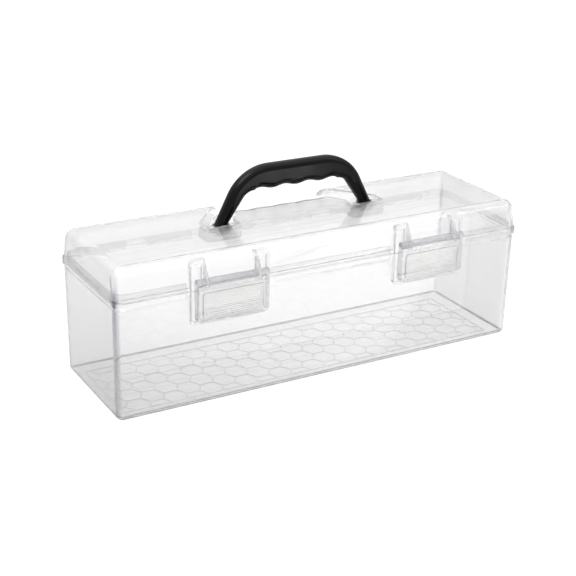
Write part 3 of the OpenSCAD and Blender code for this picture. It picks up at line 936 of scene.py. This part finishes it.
def zone(nodes, links, value, face, fade):
    """Rises from 0 to 1 between two depths below a face and its mirror image, given by fade."""
    size = nodes.new("ShaderNodeMath")
    size.operation = "ABSOLUTE"
    links.new(value, size.inputs[0])
    found = nodes.new("ShaderNodeMapRange")
    found.interpolation_type = "SMOOTHSTEP"
    found.inputs["From Min"].default_value = (face - fade[0]) * MM
    found.inputs["From Max"].default_value = (face - fade[1]) * MM
    links.new(size.outputs[0], found.inputs["Value"])
    return found.outputs[0]


def corner_shade_mask(nodes, links, axes):
    """1 on the box's four upright corners, which get a painted shade."""
    return arithmetic(nodes, links, "MULTIPLY", zone(nodes, links, axes["X"], WALL_X, CORNER_FADE),
                      zone(nodes, links, axes["Y"], WALL_Y, CORNER_FADE))


def silhouette_shade_mask(nodes, links, axes):
    """1 on the part of each upright corner that turns towards the box's end, which gets a painted shade."""
    return arithmetic(nodes, links, "MULTIPLY", zone(nodes, links, axes["X"], WALL_X, SILHOUETTE_FADE_X),
                      zone(nodes, links, axes["Y"], WALL_Y, SILHOUETTE_FADE_Y))


def end_shade_mask(nodes, links, axes):
    """1 on the two end walls, which get a painted shade."""
    return zone(nodes, links, axes["X"], WALL_X, END_FADE)


def low_edge_shade_mask(nodes, links, axes):
    """1 on the rounded edge around the tub's underside, which gets a painted shade."""
    either = arithmetic(nodes, links, "MAXIMUM", zone(nodes, links, axes["X"], TUB_X, LOW_EDGE_FADE),
                        zone(nodes, links, axes["Y"], TUB_Y, LOW_EDGE_FADE))
    low = arithmetic(nodes, links, "LESS_THAN", axes["Z"], LOW_EDGE_HIGH * MM)
    return arithmetic(nodes, links, "MULTIPLY", either, low)


def ridge_shade_mask(nodes, links, axes):
    """1 at the height of the floor pattern's raised lines, which get a painted shade, and so on a thin ring
    of the walls too.
    """
    found = nodes.new("ShaderNodeMath")
    found.operation = "COMPARE"
    found.inputs[1].default_value = (FLOOR_TOP + HEX_HIGH * 0.7) * MM
    found.inputs[2].default_value = HEX_HIGH * 0.5 * MM
    links.new(axes["Z"], found.inputs[0])
    return found.outputs[0]


def tinted(nodes, links, factor, colour, tint):
    """The colour, turning into the constant tint as factor goes to 1."""
    found = nodes.new("ShaderNodeMix")
    found.data_type = "RGBA"
    found.inputs["B"].default_value = (*tint, 1)
    links.new(factor, found.inputs["Factor"])
    links.new(colour, found.inputs["A"])
    return found.outputs["Result"]


def mixed(nodes, links, first, second):
    """A mix of two shaders; the mix node is returned, so that its factor can be set."""
    found = nodes.new("ShaderNodeMixShader")
    links.new(first.outputs[0], found.inputs[1])
    links.new(second.outputs[0], found.inputs[2])
    return found


def clear(name, dark, light, corner, rough, transmission, straight):
    """Clear moulded plastic: a little haze that varies, faint flow waves and fine scuffs in the gloss.

    The share called straight lets light through unbent, as thin moulded sheet hardly bends it. The
    tints of corners, ends, low edge and raised lines are painted shade, and so is the dark diffuse
    share on the silhouettes and the low edge: they stand in for the darker room that such plastic bends
    into view."""
    m, nodes, links, p, place = new_material(name)
    split = nodes.new("ShaderNodeSeparateXYZ")
    links.new(place.outputs["Object"], split.inputs[0])
    axes = split.outputs
    p.inputs["IOR"].default_value = 1.49
    p.inputs["Transmission Weight"].default_value = transmission
    cloud = noise(nodes, links, place, CLOUD_SCALE)
    scuff = noise(nodes, links, place, SCUFF_SCALE, 5)
    flow = noise(nodes, links, place, FLOW_SCALE, 1)
    low_edge_shade = low_edge_shade_mask(nodes, links, axes)
    colour = blend(nodes, links, cloud, dark, light)
    # painted shade: the end walls turn darker
    colour = tinted(nodes, links, end_shade_mask(nodes, links, axes), colour, END_PAINTED_SHADE)
    # painted shade: the corner colour darkens the upright corners
    colour = tinted(nodes, links, corner_shade_mask(nodes, links, axes), colour, corner)
    # painted shade: the corner colour also darkens the tub's low edge
    colour = tinted(nodes, links, low_edge_shade, colour, corner)
    # painted shade: the raised lines and a thin ring of the walls turn greyer
    colour = tinted(nodes, links, ridge_shade_mask(nodes, links, axes), colour, RIDGE_PAINTED_SHADE)
    links.new(colour, p.inputs["Base Color"])
    links.new(spread(nodes, links, scuff, rough * 0.6, rough * 1.5), p.inputs["Roughness"])
    links.new(bump(nodes, links, flow, 0.03, 0.001), p.inputs["Normal"])
    thin = nodes.new("ShaderNodeBsdfTransparent")
    links.new(colour, thin.inputs["Color"])
    plastic = mixed(nodes, links, p, thin)
    plastic.inputs[0].default_value = straight
    # painted shade: a dark diffuse share on the silhouettes and the low edge
    shade = nodes.new("ShaderNodeBsdfDiffuse")
    shade.inputs["Color"].default_value = CORNER_SHADE
    shaded = mixed(nodes, links, plastic, shade)
    outer = arithmetic(nodes, links, "MAXIMUM", silhouette_shade_mask(nodes, links, axes), low_edge_shade)
    links.new(arithmetic(nodes, links, "MULTIPLY", outer, SHADE_SHARE), shaded.inputs[0])
    links.new(shaded.outputs[0], nodes["Material Output"].inputs["Surface"])
    return m


def black_plastic():
    """Glossy black moulded plastic, a touch greyer and duller in patches, with a fine grain."""
    m, nodes, links, p, place = new_material("black_handle")
    p.inputs["Specular IOR Level"].default_value = 0.13
    rub = noise(nodes, links, place, RUB_SCALE)
    grain = noise(nodes, links, place, GRAIN_SCALE, 2)
    colour = blend(nodes, links, rub, (0.0015, 0.0015, 0.002), (0.004, 0.004, 0.0045))
    links.new(colour, p.inputs["Base Color"])
    links.new(spread(nodes, links, rub, 0.16, 0.26), p.inputs["Roughness"])
    links.new(bump(nodes, links, grain, 0.08, 0.0001), p.inputs["Normal"])
    return m


make_camera()
make_studio()
# The third colour of each clear plastic is a painted shade for its upright corners and the tub's low edge.
shell = clear("clear_shell", (0.942, 0.942, 0.944), (0.962, 0.962, 0.963), (0.62, 0.62, 0.66),
              rough=0.03, transmission=0.965, straight=0.22)
# painted shade: a greyer copy of the clear plastic for the narrow sides of pads and cheeks and the pads'
# undersides
shell_edge_shade = clear("shell_edge_shade", (0.7, 0.7, 0.72), (0.8, 0.8, 0.82), (0.6, 0.6, 0.6),
                   rough=0.03, transmission=0.97, straight=0.1)
build_tub(shell, shell_edge_shade)
build_lid(shell, shell_edge_shade)
build_handle(black_plastic())
latch_clear = clear("clear_latch", (0.955, 0.955, 0.96), (0.975, 0.975, 0.975), (0.9, 0.9, 0.92),
                    rough=0.04, transmission=0.95, straight=0.15)
latch_ribs = clear("latch_ribs", (0.95, 0.945, 0.93), (0.97, 0.965, 0.955), (0.9, 0.9, 0.9),
                   rough=0.2, transmission=0.9, straight=0.3)
# painted shade: greyer and darker copies of the latch plastic for the frame, clip and plate edges and the
# frame's sides
latch_edge_shade = clear("latch_edge_shade", (0.68, 0.68, 0.7), (0.78, 0.78, 0.8), (0.7, 0.7, 0.7),
                    rough=0.03, transmission=0.97, straight=0.05)
latch_side_shade = clear("latch_side_shade", (0.36, 0.36, 0.38), (0.46, 0.46, 0.48), (0.4, 0.4, 0.4),
                   rough=0.03, transmission=0.97, straight=0.05)
latch_materials = (latch_clear, latch_ribs, latch_edge_shade, latch_side_shade)
build_latch("latch_left", -LATCH_X, latch_materials)
build_latch("latch_right", LATCH_X, latch_materials)
